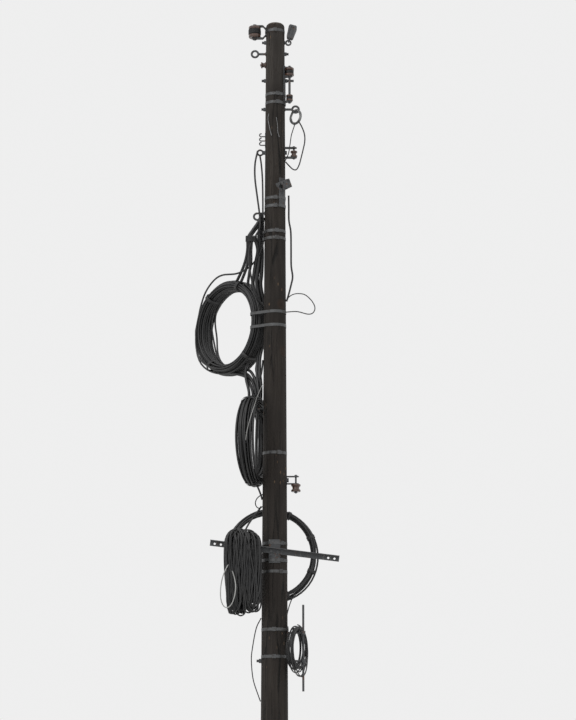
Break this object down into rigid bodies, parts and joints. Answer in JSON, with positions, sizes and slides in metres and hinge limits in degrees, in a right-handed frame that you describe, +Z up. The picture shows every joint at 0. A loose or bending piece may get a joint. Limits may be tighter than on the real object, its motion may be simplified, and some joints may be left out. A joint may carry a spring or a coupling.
{
  "type": "telephone pole",
  "caption": "Tapered wooden utility pole with strapped-on irons, spool insulators, a clevis and rack, a sloping cable arm and hung coils of spare cable.",
  "frame": {"origin": "centre of the pole at the ground line", "axes": "+Z up along the pole, +X to the right and +Y away from the viewer in the picture"},
  "size_m": [0.9583, 0.8207, 6.7],
  "materials": {
    "wood": "weathered, creosoted round timber with long drying checks",
    "galvanised_steel": "dull weathered galvanising with rust at edges and bolts",
    "strap_steel": "stainless steel band, scratched and dulled",
    "porcelain": "dark brown glazed porcelain",
    "cable": "black polyethylene sheath, chalked by the sun"
  },
  "bodies": {
    "root": {"pole_shaft": "wood", "top_strap": "strap_steel", "left_iron": "galvanised_steel", "left_spool": "porcelain", "anchor_eye": "galvanised_steel", "anchor_clamp": "galvanised_steel", "left_eye_bolt": "galvanised_steel", "side_knob": "porcelain", "rack_frame": "galvanised_steel", "rack_bolt": "galvanised_steel", "rack_upper_spool": "porcelain", "rack_lower_spool": "porcelain", "rack_straps": "strap_steel", "ring_eye": "galvanised_steel", "wire_ring": "cable", "hook_plate": "galvanised_steel", "right_clevis": "galvanised_steel", "clevis_knob": "porcelain", "eye_nut": "galvanised_steel", "cable_clamp": "galvanised_steel", "clamp_straps": "strap_steel", "pigtail_bolt": "galvanised_steel", "guide_straps": "strap_steel", "coil_1": "cable", "coil_1_straps": "strap_steel", "coil_2_hook": "galvanised_steel", "coil_2": "cable", "coil_strap": "strap_steel", "low_clevis": "galvanised_steel", "low_clevis_knob": "porcelain", "arm_pad": "galvanised_steel", "cable_arm": "galvanised_steel", "arm_straps": "strap_steel", "ring_hooks": "galvanised_steel", "ring_coil": "cable", "skein_1": "cable", "skein_2": "cable", "rod_bracket": "galvanised_steel", "standoff_rod": "galvanised_steel", "rod_straps": "strap_steel", "small_coil": "cable", "riser_left": "cable", "coil_lead": "cable", "riser_right": "cable", "jumper_loop": "cable", "jumper_wire": "cable", "side_loop": "cable", "foot_wire": "cable"}
  },
  "joints": []
}
